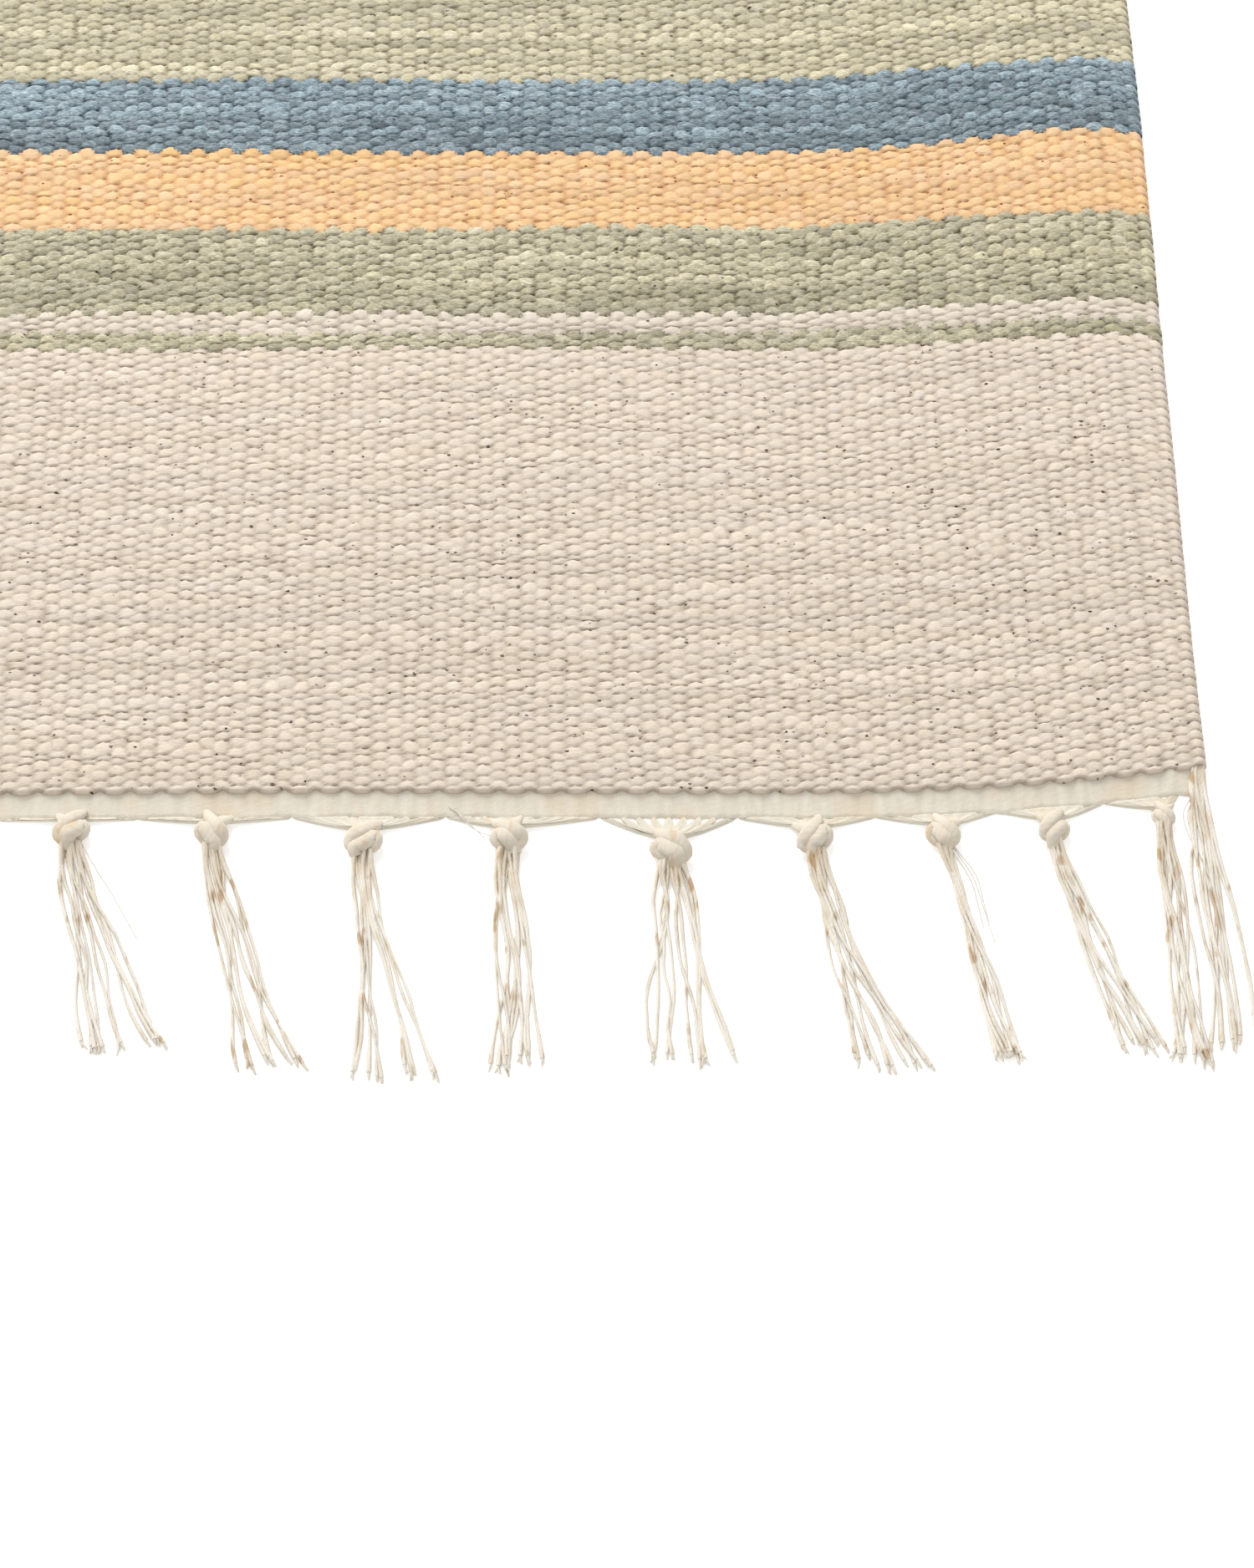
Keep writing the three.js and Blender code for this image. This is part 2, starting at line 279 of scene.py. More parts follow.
def cloth_face(warp, pick):
    """Points of the cloth's upper face, and how deep in a crease each lies, from 0 on top of a float to 1;
    the last half millimetre at each end is counted deep as well, so a shade line is painted along the end
    edge.
    The lattice is laid straight, bent by the bows, waves and wander, and raised by the floats; the edges
    are rounded off as quarter ellipses."""
    x = warp * WARP_PITCH - HALF_WIDTH
    y = np.interp(pick, stripe_picks, stripe_places)
    from_selvedge = HALF_WIDTH - np.abs(x)
    from_end = HALF_LENGTH - np.abs(y)
    end_sign = np.where(y < 0, -1.0, 1.0)
    inside = smooth_step(from_selvedge / STRAIGHT_AT_SELVEDGE) * smooth_step(from_end / STRAIGHT_AT_END)
    height, _, _ = highest_float(warp, pick)
    depth = np.clip((FLOAT_CROWN * 0.97 - height) / 0.95, 0, 1)

    last_warp = np.where(x < 0, 0.5, WARPS - 0.5)
    turn, _, _ = highest_float(last_warp, pick)
    scallop = SELVEDGE_SCALLOP * (turn - 0.55) * np.exp(-from_selvedge / 3)
    arc = np.abs(np.cos(np.pi / 2 * (warp - 0.5 - np.where(y < 0, 0, 1)))) ** 0.7
    drawn_in = END_SCALLOP * (1 - arc) * np.exp(-from_end / 1.4)
    # Painted shade: the last stretch at each end counts as deep in a crease, so it takes the crease colour as
    # a dark line.
    depth = np.maximum(depth, np.clip(1 - from_end / END_SHADE, 0, 1))

    bent_x = x * (1 + side_wander(y) / HALF_WIDTH) + np.sign(x) * scallop
    bent_x = bent_x + inside * between(COLUMN_WAVES * column_waves + column_shift, warp, pick)
    bent_y = y + row_rise(x, y) - end_sign * drawn_in
    bent_y = bent_y + inside * between(ROW_WAVES * row_waves + PICK_LENGTH * row_shift, warp, pick)

    swell = np.interp(from_end, SWELL_PLACES, SWELL_HEIGHTS)
    z = CLOTH_TOP - FLOAT_CROWN + height + swell
    for place, deep, wide in SELVEDGE_GROOVES:
        z = z - deep * np.exp(-(((from_selvedge - place) / wide) ** 2))
    for distance, rounding in ((from_selvedge, SELVEDGE_ROUNDING), (from_end, END_ROUNDING)):
        fall = np.sqrt(1 - (1 - np.clip(distance / rounding, 0, 1)) ** 2)
        z = EDGE_HEIGHT + (z - EDGE_HEIGHT) * fall
    return np.stack([bent_x, bent_y, z], axis=-1), depth


def unit(vectors):
    """The same vectors, one long."""
    return vectors / np.maximum(np.linalg.norm(vectors, axis=-1, keepdims=True), 1e-9)


def up_normals(points):
    """Unit normals of a grid of points: the cross product of its slopes both ways."""
    return unit(np.cross(np.gradient(points, axis=0), np.gradient(points, axis=1)))


def border_of(grid):
    """What a grid holds round its edge, against the clock as seen from above."""
    return np.concatenate([grid[:, 0], grid[-1, 1:], grid[-2::-1, -1], grid[0, -2:0:-1]])


def round_faces(grid):
    """What a grid holds at the four corners of each face between its lines, in their order round it."""
    return np.stack([grid[..., :-1, :-1], grid[..., 1:, :-1], grid[..., 1:, 1:], grid[..., :-1, 1:]], axis=-1)


def slab(face, normals, uv, cuts=()):
    """A closed sheet under a grid of points: the grid is its upper face, straight walls drop from its
    border to the floor, and its flat underside is cut across at the rows in cuts. Returns what make_piece
    needs, and, for each face of the underside, its middle row."""
    wide, long = face.shape[:2]
    index = np.arange(wide * long).reshape(wide, long)
    quads = round_faces(index).ravel()
    border = border_of(index)
    flat_face = face.reshape(-1, 3)
    foot_of = np.full(wide * long, -1)
    foot_of[border] = wide * long + np.arange(len(border))
    following = np.roll(border, -1)
    walls = np.stack([foot_of[border], foot_of[following], following, border], axis=-1).ravel()
    edge = flat_face[following] - flat_face[border]
    outwards = unit(np.stack([edge[:, 1], -edge[:, 0], np.zeros(len(edge))], axis=-1))

    points = [flat_face, flat_face[border] * (1, 1, 0)]
    columns = np.arange(4, wide - 1, 4)
    first_inner = wide * long + len(border)
    rows = [foot_of[index[:, 0]]]
    for number, cut in enumerate(cuts):
        inner = first_inner + number * len(columns) + np.arange(len(columns))
        points.append(face[columns, cut] * (1, 1, 0))
        rows.append(np.concatenate([[foot_of[index[0, cut]]], inner, [foot_of[index[-1, cut]]]]))
    rows.append(foot_of[index[:, -1]])
    levels = [0, *cuts, long - 1]
    undersides = []
    for n, (low, high) in enumerate(zip(levels[:-1], levels[1:])):
        right_side = foot_of[index[-1, low + 1 : high]]
        left_side = foot_of[index[0, low + 1 : high]]
        loop = np.concatenate([rows[n], right_side, rows[n + 1][::-1], left_side[::-1]])
        undersides.append(loop[::-1])

    points = np.concatenate(points)
    corners = np.concatenate([quads, walls, *undersides])
    down = np.tile([0.0, 0.0, -1.0], (len(corners) - len(quads) - len(walls), 1))
    flat_uv = uv.reshape(-1, 2)
    inner_uv = points[first_inner:, :2] + (HALF_WIDTH, HALF_LENGTH)
    return {
        "points": points,
        "corners": corners,
        "sides": np.array([4] * ((len(quads) + len(walls)) // 4) + [len(loop) for loop in undersides]),
        "normals": np.concatenate([normals.reshape(-1, 3)[quads], np.repeat(outwards, 4, axis=0), down]),
        "uv": np.concatenate([flat_uv, flat_uv[border], inner_uv])[corners],
        "middle_rows": [(low + high) // 2 for low, high in zip(levels[:-1], levels[1:])],
    }


# Numbers that a mesh's faces or points carry for its materials.
CARRIED = {"tone": "FACE", "warmth": "FACE", "tan_amount": "FACE", "depth": "POINT"}


def make_piece(name, shape, finishes):
    """A mesh object from a shape, which is a dictionary: points in millimetres, the corners of its faces
    one after another, how many sides each face has and, where given, the corners' normals and uv, each
    face's finish, and the numbers that it carries."""
    mesh = bpy.data.meshes.new(name)
    mesh.vertices.add(len(shape["points"]))
    mesh.vertices.foreach_set("co", (shape["points"] * MM).astype(np.float32).ravel())
    mesh.loops.add(len(shape["corners"]))
    mesh.loops.foreach_set("vertex_index", shape["corners"].astype(np.int32))
    mesh.polygons.add(len(shape["sides"]))
    starts = np.concatenate([[0], np.cumsum(shape["sides"])[:-1]])
    mesh.polygons.foreach_set("loop_start", starts.astype(np.int32))
    mesh.polygons.foreach_set("use_smooth", np.ones(len(starts), dtype=bool))
    for finish in finishes:
        mesh.materials.append(finish)
    if "finish" in shape:
        mesh.polygons.foreach_set("material_index", shape["finish"].astype(np.int32))
    if "uv" in shape:
        layer = mesh.uv_layers.new(name="yarn")
        layer.uv.foreach_set("vector", (shape["uv"] * MM).astype(np.float32).ravel())
    for key, domain in CARRIED.items():
        if key in shape:
            attribute = mesh.attributes.new(key, "FLOAT", domain)
            attribute.data.foreach_set("value", shape[key].astype(np.float32))
    mesh.update(calc_edges=True)
    if "normals" in shape:
        mesh.normals_split_custom_set(shape["normals"].astype(np.float32))
    made = bpy.data.objects.new(name, mesh)
    bpy.context.collection.objects.link(made)
    return made


def add(tree, kind, values=None, **settings):
    """The outputs of one new shader node. settings are the node's own, and values maps each input to a
    socket or to a value."""
    made = tree.nodes.new(kind)
    for key, value in settings.items():
        setattr(made, key, value)
    for key, value in (values or {}).items():
        if isinstance(value, bpy.types.NodeSocket):
            tree.links.new(value, made.inputs[key])
        else:
            made.inputs[key].default_value = value
    return made.outputs


def calculate(tree, operation, a, b=0.0, c=0.0):
    """The result of one Math node."""
    return add(tree, "ShaderNodeMath", {0: a, 1: b, 2: c}, operation=operation)[0]


def times(tree, a, b, plus=0.0):
    """a times b, plus a number."""
    return calculate(tree, "MULTIPLY_ADD", a, b, plus)


def vector_times(tree, vector, factors, plus=(0, 0, 0)):
    """A vector times three factors, plus a vector."""
    return add(tree, "ShaderNodeVectorMath", {0: vector, 1: factors, 2: plus}, operation="MULTIPLY_ADD")[0]


def scaled(tree, vector, factors, turn=0.0):
    """A vector scaled, and then turned about Z."""
    return add(tree, "ShaderNodeMapping", {0: vector, 2: (0, 0, turn), 3: factors})[0]


def mixed(tree, share, a, b):
    """Two colours mixed by a share."""
    return add(tree, "ShaderNodeMix", {0: share, 6: a, 7: b}, data_type="RGBA")[2]


def spread(tree, value, low, high, to_low=0.0, to_high=1.0):
    """A value carried from one range to another, and held inside it."""
    values = {0: value, 1: low, 2: high, 3: to_low, 4: to_high}
    return add(tree, "ShaderNodeMapRange", values, clamp=True)[0]


def noise(tree, place, scale=1.0, detail=2.0, **more):
    """A cloudy pattern: its value, then its colour. Scale is clouds to the unit."""
    return add(tree, "ShaderNodeTexNoise", {"Vector": place, "Scale": scale, "Detail": detail, **more})


def carried(tree, name):
    """A number that the mesh carries."""
    return add(tree, "ShaderNodeAttribute", attribute_name=name)["Fac"]


def on_yarn(tree):
    """The place on the piece's own map, in millimetres."""
    return vector_times(tree, add(tree, "ShaderNodeUVMap", uv_map="yarn")[0], (1000, 1000, 1000))


def linear(value):
    """A colour given in the 0 to 255 of a colour picker, as the linear values a shader wants. A plain
    number stays as it is."""
    if isinstance(value, float):
        return value
    picked = np.array(value) / 255
    lit = np.where(picked <= 0.04045, picked / 12.92, ((picked + 0.055) / 1.055) ** 2.4)
    return (*lit.tolist(), 1.0)


def yarn_group(name, finish):
    """An empty node group that takes a finish's colours and numbers, and puts out Colour, Roughness and
    Height. Returns it, and the sockets that its inputs arrive on."""
    group = bpy.data.node_groups.new(name, "ShaderNodeTree")
    for key, value in finish.items():
        kind = "NodeSocketFloat" if isinstance(value, float) else "NodeSocketColor"
        socket = group.interface.new_socket(name=key, in_out="INPUT", socket_type=kind)
        socket.default_value = linear(value)
    for key, kind in (("Colour", "Color"), ("Roughness", "Float"), ("Height", "Float")):
        group.interface.new_socket(name=key, in_out="OUTPUT", socket_type=f"NodeSocket{kind}")
    return group, group.nodes.new("NodeGroupInput").outputs


def close_group(group, *results):
    """Leads the finished colour, roughness and height out of a group."""
    for socket, result in zip(group.nodes.new("NodeGroupOutput").inputs, results):
        group.links.new(result, socket)


def cotton_material(name, group, finish, sheen):
    """A matt cotton material round one placed yarn group, which takes the finish's colours and numbers."""
    made = bpy.data.materials.new(name)
    made.use_nodes = True
    tree = made.node_tree
    values = {key: linear(value) for key, value in finish.items()}
    placed = add(tree, "ShaderNodeGroup", values, node_tree=group)
    raised = add(tree, "ShaderNodeBump", {"Distance": MM, "Height": placed["Height"]})
    inputs = tree.nodes["Principled BSDF"].inputs
    tree.links.new(placed["Colour"], inputs["Base Color"])
    tree.links.new(placed["Roughness"], inputs["Roughness"])
    tree.links.new(raised[0], inputs["Normal"])
    inputs["Specular IOR Level"].default_value = 0.22
    inputs["Sheen Weight"].default_value = sheen
    inputs["Sheen Roughness"].default_value = 0.45
    return made


# Dyes: yarn, its lighter fibres, the shade painted in its creases and the seed husks, as picked colours,
# then how much of the lighter fibres show, how strong the painted crease shade is, how uneven the floats
# are and how many husks there are.
WEFT_INPUTS = ["Yarn", "Fibres", "Crease shade", "Seeds", "Fibre share", "Crease share", "Unevenness", "Seed share"]
DYE_ROWS = {
    "natural": ((210, 196, 180), (228, 216, 202), (146, 128, 108), (62, 48, 38), 0.5, 0.55, 0.03, 0.040),
    "cream": ((213, 201, 185), (230, 220, 206), (150, 134, 114), (62, 48, 38), 0.5, 0.6, 0.03, 0.026),
    "sage": ((163, 156, 128), (224, 217, 198), (92, 82, 60), (64, 54, 42), 0.62, 0.85, 0.13, 0.040),
    "pale sage": ((176, 168, 141), (220, 213, 192), (108, 98, 72), (68, 56, 42), 0.6, 0.8, 0.11, 0.026),
    "orange": ((222, 183, 136), (238, 210, 174), (176, 118, 70), (128, 66, 36), 0.5, 0.6, 0.045, 0.034),
    "blue": ((108, 125, 134), (190, 200, 202), (50, 64, 74), (48, 50, 54), 0.7, 0.95, 0.17, 0.020),
}
DYES = {yarn: dict(zip(WEFT_INPUTS, row)) for yarn, row in DYE_ROWS.items()}

# Weft yarn: soft single cotton, with fibres lying slightly askew along it, thick and thin places, a tone of
# its own in every float, shade painted into the creases, and bits of seed husk caught mostly in the creases.
FIBRE_LENGTH = 1.7
FIBRE_WIDTH = 0.32
FIBRE_SLANT = math.radians(14)
FIBRE_RELIEF = 0.16
PATCH_LENGTH = 14.0
PATCH_WIDTH = 2.6
PATCH_SHARE = 0.5
WARM_HUE = 0.0012
WARM_VIVIDNESS = 0.05
CREASE_SHADE_STARTS = 0.25
CREASE_SHADE_FULL = 0.8
SEED_SPACING = 1.6
SEED_RAGGEDNESS = 1.3
SEED_RADIUS = (0.10, 0.27)
SEED_DARKNESS = (0.6, 1.0)
SEEDS_ON_TOP = 0.35
SEEDS_IN_CREASE = 2.6

weft, weft_in = yarn_group("weft yarn", DYES["natural"])
tone = carried(weft, "tone")
warmth = carried(weft, "warmth")
depth = carried(weft, "depth")
on_float = vector_times(weft, tone, (31.0, 17.0, 0.0), on_yarn(weft))
slanted = scaled(weft, on_float, (1 / FIBRE_LENGTH, 1 / FIBRE_WIDTH, 1), FIBRE_SLANT)
fibres = noise(weft, slanted, 1.0, 1.5, Roughness=0.6, Distortion=0.4)[0]
on_rug = vector_times(weft, add(weft, "ShaderNodeTexCoord")["Object"], (1000, 1000, 0))
patches = noise(weft, scaled(weft, on_rug, (1 / PATCH_LENGTH, 1 / PATCH_WIDTH, 1)))[0]

fibre_mask = times(weft, spread(weft, fibres, 0.42, 0.68), weft_in["Fibre share"])
whole_tone = times(weft, spread(weft, patches, 0.3, 0.7, -1.0, 1.0), PATCH_SHARE, tone)
toning = {
    "Color": mixed(weft, fibre_mask, weft_in["Yarn"], weft_in["Fibres"]),
    "Hue": times(weft, warmth, WARM_HUE, 0.5),
    "Saturation": times(weft, warmth, WARM_VIVIDNESS, 1.0),
    "Value": times(weft, whole_tone, weft_in["Unevenness"], 1.0),
}
# Painted shade: the floats' colour darkens towards the crease shade colour the deeper they lie in a crease.
crease = times(weft, spread(weft, depth, CREASE_SHADE_STARTS, CREASE_SHADE_FULL), weft_in["Crease share"])
shaded = mixed(weft, crease, add(weft, "ShaderNodeHueSaturation", toning)[0], weft_in["Crease shade"])

ragged = noise(weft, on_rug, 2.6)[1]
seed_place = vector_times(weft, ragged, (SEED_RAGGEDNESS, SEED_RAGGEDNESS / 2, 0), on_rug)
seed_cells = {"Vector": scaled(weft, seed_place, (0.75, 1.15, 1)), "Scale": 1 / SEED_SPACING}
seeds = add(weft, "ShaderNodeTexVoronoi", seed_cells, voronoi_dimensions="2D")
chance = add(weft, "ShaderNodeSeparateColor", {0: seeds["Color"]})
seed_radius = spread(weft, chance[1], 0.0, 1.0, *SEED_RADIUS)
likely = times(weft, times(weft, depth, SEEDS_IN_CREASE, SEEDS_ON_TOP), weft_in["Seed share"])
in_seed = calculate(weft, "LESS_THAN", seeds["Distance"], seed_radius)
is_seed = calculate(weft, "LESS_THAN", chance[0], likely)
seed_mask = times(weft, times(weft, in_seed, is_seed), spread(weft, chance[2], 0, 1, *SEED_DARKNESS))
close_group(
    weft,
    mixed(weft, seed_mask, shaded, weft_in["Seeds"]),
    spread(weft, fibres, 0.3, 0.7, 0.96, 0.84),
    times(weft, fibres, FIBRE_RELIEF),
)
weft_materials = [cotton_material(f"{yarn} weft", weft, DYES[yarn], sheen=0.12) for yarn in YARNS]

# Each float's own tone and warmth, with streaks that run along a row, as a weft's thicker lengths do.
float_tone = 0.5 * unevenness(31, 0.01, 0.01) + 0.6 * unevenness(32, 5.0, 0.3)
float_tone = float_tone + 0.8 * unevenness(33, 40.0, 0.8)
float_warmth = 0.45 * unevenness(34, 0.6, 0.01) + 0.7 * unevenness(35, 6.0, 0.3)

# The cloth is one sheet, modelled in panels because no mesh may be too large: the corner in the photograph
# has every grain of the weave, and the rest has fewer points. Columns: name, warps, picks, and steps for
# each warp and each pick.
PANELS = [
    ("weave_corner_end", (69, 150), (0, 62.5), 4, 4),
    ("weave_corner_middle", (67, 150), (62.5, 124.5), 4, 4),
    ("weave_corner_stripes", (66, 150), (124.5, 184.5), 4, 4),
    ("weave_left_end", (0, 69), (0, 62.5), 2, 1),
    ("weave_left_middle", (0, 67), (62.5, 124.5), 2, 1),
    ("weave_left_stripes", (0, 66), (124.5, 184.5), 2, 1),
    ("weave_middle", (0, 150), (184.5, 396.5), 2, 1),
    ("weave_far_end", (0, 150), (396.5, PICKS), 2, 1),
]


def lattice_lines(span, steps, offset, limit):
    """Lines of the weave that a grid follows: evenly spaced at steps to the unit, with one more beyond each
    inner border for the slopes, and the cloth's own edges. Returns them and which lie in the span."""
    low, high = span
    lines = (np.arange(math.floor((low - 1) * steps), math.ceil((high + 1) * steps) + 1) + offset) / steps
    step = 1 / steps
    lines = lines[(lines > max(low - 1.01 * step, 0)) & (lines < min(high + 1.01 * step, limit))]
    lines = np.concatenate([[0] if low == 0 else [], lines, [limit] if high == limit else []])
    return lines, (lines > low - 1e-6) & (lines < high + 1e-6)


for name, warp_span, pick_span, warp_steps, pick_steps in PANELS:
    warp_lines, warps_inside = lattice_lines(warp_span, warp_steps, 0.0, WARPS)
    pick_lines, picks_inside = lattice_lines(pick_span, pick_steps, 0.5 * (pick_steps % 2), PICKS)
    warp, pick = np.meshgrid(warp_lines, pick_lines, indexing="ij")
    face, crease_depth = cloth_face(warp, pick)
    kept = np.ix_(warps_inside, picks_inside)
    grids = (face, up_normals(face), crease_depth, warp, pick)
    face, normals, crease_depth, warp, pick = (grid[kept] for grid in grids)
    uv = np.stack([warp * WARP_PITCH, pick * PICK_LENGTH], axis=-1)
    cuts = [int(np.argmin(np.abs(pick[0] - border))) for border in stripe_picks]
    shape = slab(face, normals, uv, [cut for cut in cuts if 0 < cut < pick.shape[1] - 1])
    corner_warp = round_faces(warp).reshape(-1, 4)
    corner_pick = round_faces(pick).reshape(-1, 4)
    middle_warp = (corner_warp[:, 0] + corner_warp[:, 2]) / 2
    middle_pick = (corner_pick[:, 0] + corner_pick[:, 2]) / 2
    _, over_warp, over_pick = highest_float(middle_warp, middle_pick)
    middle_of_float = over_pick[:, None] + 0.5
    fanned = (corner_pick - middle_of_float) / taper(corner_warp - over_warp[:, None] - 0.5)
    fanned = middle_of_float + np.clip(fanned, -1.5, 1.5)
    top_uv = np.stack([corner_warp * WARP_PITCH, fanned * PICK_LENGTH], axis=-1)
    shape["uv"][: corner_warp.size] = top_uv.reshape(-1, 2)
    below = shape["middle_rows"]
    face_warp = np.concatenate([over_warp, border_of(warp), warp[0, below]])
    face_pick = np.concatenate([over_pick, border_of(pick), pick[0, below]])
    face_warp = np.clip(face_warp, 0, WARPS - 1).astype(int)
    face_pick = np.clip(face_pick, 0, PICKS - 1).astype(int)
    shape["finish"] = yarn_of_pick[face_pick]
    shape["tone"] = float_tone[face_warp, face_pick]
    shape["warmth"] = float_warmth[face_warp, face_pick]
    shape["depth"] = np.zeros(len(shape["points"]))
    shape["depth"][: crease_depth.size] = crease_depth.ravel()
    panel = make_piece(name, shape, weft_materials)
    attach(panel, "root")
    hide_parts("cloth")


# Bare warp ends. Past the last weft the warps lie side by side in a narrow heading, held by a few fine
# picks, and then run slantwise to the knots. They are harder than the weft: two plies twisted together.

PARTING = 0.3
OFF_THE_FLOOR = 0.02
BETWEEN_YARNS = 7.3
HEADING_WIDTH = 6.0
HEADING_TUCK = 1.6
INSET_AT_CORNER = 0.6

# Tassels, from the +X selvedge to the other: how far in the knot lies, how far out and how wide it is, where
# its tips end to the left and right of it and how far out, how its bundle bends and parts, the knot's hand
# and turn, how far its group of warps is shifted, its share of eyelets, and its bundle, locks and looseness.
COLUMNS = "x knot_out knot_width tip_left tip_right reach bend parting hand turn"
Tassel = namedtuple("Tassel", COLUMNS + " shift eyelets bundle locks looseness")
TASSEL_ROWS = [
    (2.9, 0.0, 0.0, -3.6, 9.0, 73.8, 1.1, 0.8, 1, 0, 0.0, 0.0, 1.7, 4, 1.2),
    (13.0, 6.9, 6.8, -3.6, 6.4, 78.1, 1.2, 1.0, 1, 10, 0.0, 0.2, 1.7, 3, 1.3),
    (41.8, 10.8, 9.6, 13.2, 23.6, 75.1, 1.15, 0.8, -1, -8, 0.5, 0.4, 1.5, 4, 1.4),
    (70.7, 12.4, 10.0, 9.6, 16.4, 78.6, 1.0, 2.0, 1, 12, 1.0, 0.7, 1.6, 2, 0.55),
    (104.2, 13.1, 11.0, 8.1, 27.7, 79.2, 1.3, 1.3, -1, -18, 0.0, 0.5, 2.2, 4, 1.3),
    (141.6, 16.4, 12.0, -7.3, 14.6, 78.7, 1.1, 0.78, 1, 0, 0.0, 1.0, 3.2, 5, 1.4),
    (183.7, 12.8, 11.0, -4.0, 8.4, 79.5, 1.2, 1.0, 1, -6, 4.8, 0.3, 2.8, 3, 1.3),
    (221.3, 13.4, 11.0, -1.0, 19.3, 81.8, 1.3, 1.4, -1, 8, 0.0, 0.5, 2.3, 4, 1.1),
    (260.3, 11.3, 10.5, 9.0, 25.6, 78.0, 1.2, 1.0, 1, 14, 0.0, 0.4, 2.0, 4, 1.3),
    (296.7, 10.4, 11.0, 5.6, 27.7, 73.4, 1.2, 1.2, -1, -5, -1.5, 0.5, 2.4, 5, 1.4),
    (335.5, 12.4, 11.0, 3.5, 20.5, 79.0, 1.3, 1.6, 1, 6, 0.0, 0.3, 2.0, 3, 1.1),
    (374.0, 13.0, 11.5, -4.0, 11.5, 80.2, 1.2, 1.0, 1, -12, 2.0, 0.6, 2.6, 4, 1.3),
    (411.5, 11.8, 10.5, -2.5, 17.0, 77.4, 1.4, 1.8, -1, 3, 0.0, 0.3, 2.1, 3, 1.0),
    (449.0, 12.9, 11.0, -8.0, 6.5, 79.6, 1.2, 1.0, 1, 15, -2.0, 0.5, 2.4, 4, 1.3),
    (486.0, 12.2, 11.0, -13.0, 6.0, 76.8, 1.3, 1.1, -1, -10, 0.0, 0.4, 2.2, 5, 1.4),
    (521.5, 12.0, 10.5, -9.5, 5.5, 78.4, 1.2, 1.5, 1, 0, 1.0, 0.6, 2.0, 3, 1.0),
    (555.0, 11.2, 10.0, -10.5, 1.5, 77.0, 1.2, 1.0, -1, 9, 0.0, 0.3, 1.8, 3, 1.2),
    (586.5, 7.6, 7.2, -8.6, 2.4, 76.2, 1.2, 1.2, 1, -7, 0.0, 0.2, 1.7, 3, 1.2),
    (597.1, 0.0, 0.0, -8.0, -2.8, 72.0, 1.1, 1.0, 1, 0, 0.0, 0.0, 1.5, 2, 1.0),
]
tassels = [Tassel(HALF_WIDTH - row[0], *row[1:]) for row in TASSEL_ROWS]


def in_rug(x, out, z):
    """Points given across the rug, outwards from the line of the near end, and up."""
    return np.stack(np.broadcast_arrays(x, -HALF_LENGTH - out, z), axis=-1)


# Warp yarn: the plies' faint twist winds round it, with shade painted into the grooves between them, and it
# is creamy with tan patches, most of them where the tassels leave the knots and at their tips.
PLY_TWIST = 3.2
PLY_FULLNESS = 0.6
PLY_RELIEF = 0.05
HAIR_RELIEF = 0.05
TAN_PATCHES = (1000 / 2.6, 1000 / 7.0, 1000 / 5.0)
PLIED_INPUTS = ["Yarn", "Tan", "Spots", "Groove shade", "Tan share"]
# Knotted warps and loose ends are one yarn: the knots are painted darker to hold down their lit tops, and the
# loose ends lighter to lift the shade between strands.
KNOTTED = dict(zip(PLIED_INPUTS, ((213, 204, 188), (208, 192, 169), (204, 184, 157), (207, 197, 179), 0.5)))
LOOSE = dict(zip(PLIED_INPUTS, ((230, 224, 212), (212, 198, 176), (182, 149, 108), (220, 211, 196), 0.8)))

plied, plied_in = yarn_group("warp yarn", KNOTTED)
around = add(plied, "ShaderNodeSeparateXYZ", {0: on_yarn(plied)})
winding = times(plied, around[0], 4 * math.pi, times(plied, around[1], 2 * math.pi / PLY_TWIST))
plies = calculate(plied, "ABSOLUTE", calculate(plied, "SINE", winding))
plies = calculate(plied, "POWER", plies, PLY_FULLNESS)
on_rug = add(plied, "ShaderNodeTexCoord")["Object"]
patched = scaled(plied, on_rug, TAN_PATCHES)
tan = noise(plied, patched, 1.0, 3.0)[0]
spots = add(plied, "ShaderNodeSeparateColor", {0: noise(plied, patched, 0.9, 1.0)[1]})[1]
hairs = noise(plied, on_rug, 2600.0)[0]
tan_amount = carried(plied, "tan_amount")
tan_share = spread(plied, times(plied, tan_amount, 0.3, tan), 0.55, 0.78)
spot_share = times(plied, spread(plied, spots, 0.61, 0.69), spread(plied, tan_amount, 0.0, 0.3, 0.0, 0.8))
dyed = mixed(plied, times(plied, tan_share, plied_in["Tan share"]), plied_in["Yarn"], plied_in["Tan"])
dyed = mixed(plied, spot_share, dyed, plied_in["Spots"])
# Painted shade: the colour darkens towards the groove shade colour in the grooves between the plies.
dyed = mixed(plied, spread(plied, plies, 0.0, 0.7, 0.35, 0.0), dyed, plied_in["Groove shade"])
brightness = times(plied, carried(plied, "tone"), 0.02, spread(plied, hairs, 0.3, 0.7, 0.96, 1.04))
close_group(
    plied,
    add(plied, "ShaderNodeHueSaturation", {"Value": brightness, "Color": dyed})[0],
    spread(plied, hairs, 0.3, 0.7, 0.95, 0.82),
    times(plied, hairs, HAIR_RELIEF, times(plied, plies, PLY_RELIEF)),
)
knotted_material = cotton_material("knotted warps", plied, KNOTTED, sheen=0.1)
loose_material = cotton_material("loose warp ends", plied, LOOSE, sheen=0.15)


